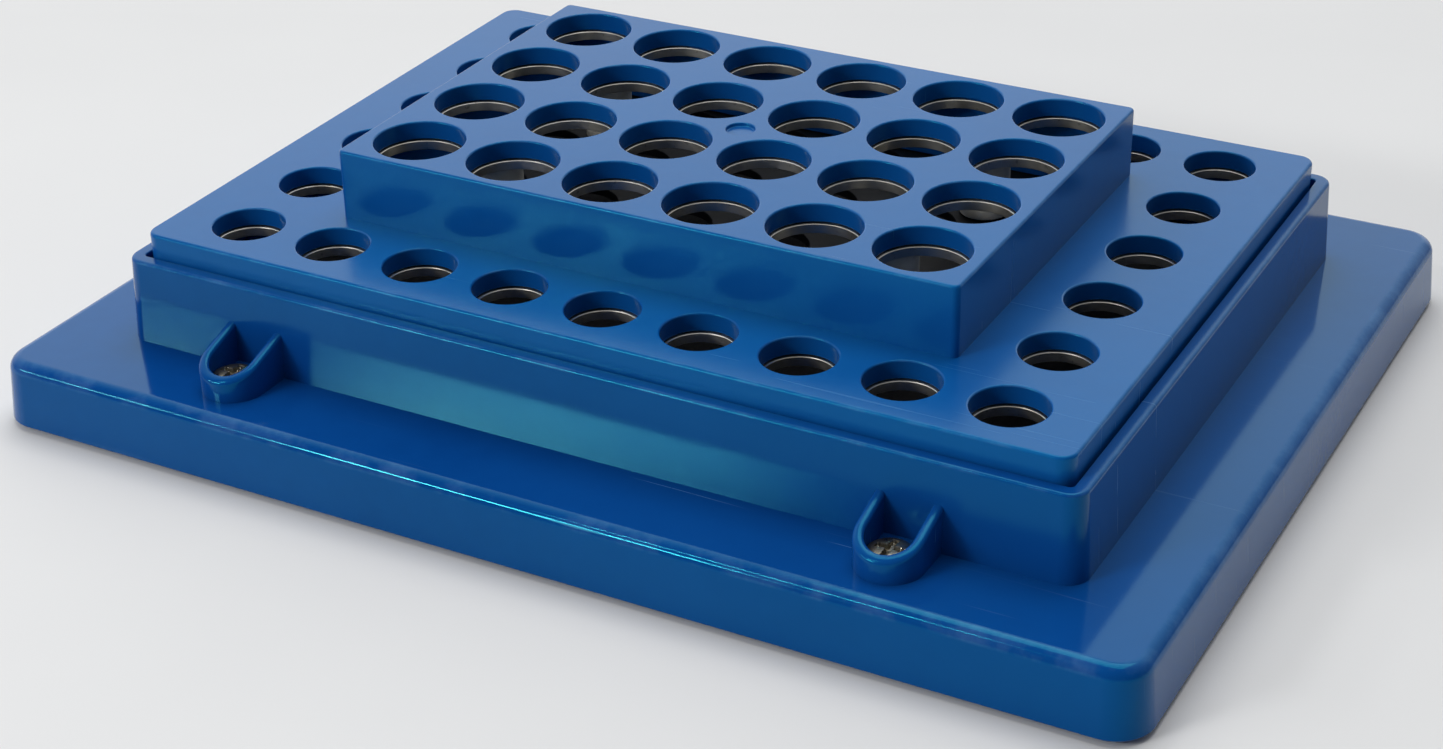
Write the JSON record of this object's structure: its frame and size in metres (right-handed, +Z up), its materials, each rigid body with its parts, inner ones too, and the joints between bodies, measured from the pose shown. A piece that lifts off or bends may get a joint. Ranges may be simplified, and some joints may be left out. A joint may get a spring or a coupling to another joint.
{
  "type": "test tube rack",
  "caption": "Stepped blue plastic test tube rack: a perforated two-level carrier lifts out of a housing screwed to a wide tray.",
  "frame": {"origin": "centre of the footprint, on the surface that the feet stand on", "axes": "+X along the long side, -Y the front, +Z up"},
  "size_m": [0.2216, 0.1682, 0.0471],
  "materials": {
    "tray_plastic": "glossy moulded blue with fine handling scratches",
    "housing_plastic": "glossy moulded blue",
    "cover_plastic": "semi-gloss moulded blue with a fine grain",
    "tube_plate": "drilled sheet, satin",
    "guide_sheet": "black plastic sheet, fine grain",
    "lug_screw_steel": "dull zinc-plated pan head",
    "screw_steel": "zinc-plated",
    "mat_rubber": "matt black",
    "foot_rubber": "matt black",
    "spacer_nylon": "natural nylon"
  },
  "bodies": {
    "base": {"base_tray": "tray_plastic", "rubber_foot_1": "foot_rubber", "rubber_foot_2": "foot_rubber", "rubber_foot_3": "foot_rubber", "rubber_foot_4": "foot_rubber", "foot_screw_1": "screw_steel", "foot_screw_2": "screw_steel", "foot_screw_3": "screw_steel", "foot_screw_4": "screw_steel", "housing": "housing_plastic", "lug_screw_1": "lug_screw_steel", "lug_screw_2": "lug_screw_steel", "lug_screw_3": "lug_screw_steel", "lug_screw_4": "lug_screw_steel", "rest_mat": "mat_rubber"},
    "carrier": {"deck_cover": "cover_plastic", "deck_strip_front": "tube_plate", "deck_strip_back": "tube_plate", "deck_strip_left": "tube_plate", "deck_strip_right": "tube_plate", "guide_plate": "guide_sheet", "deck_plate_screw_1": "screw_steel", "deck_plate_screw_2": "screw_steel", "deck_plate_screw_3": "screw_steel", "deck_plate_screw_4": "screw_steel", "deck_plate_screw_5": "screw_steel", "deck_plate_screw_6": "screw_steel", "top_tier": "cover_plastic", "tier_plate": "tube_plate", "tier_spacer_1": "spacer_nylon", "tier_spacer_2": "spacer_nylon", "tier_spacer_3": "spacer_nylon", "tier_spacer_4": "spacer_nylon", "tier_screw_1": "screw_steel", "tier_screw_2": "screw_steel", "tier_screw_3": "screw_steel", "tier_screw_4": "screw_steel"}
  },
  "joints": [
    {"name": "carrier_lift", "type": "slide", "parent": "base", "child": "carrier", "axis": [0, 0, 1], "range_m": [0, 0.06]}
  ]
}
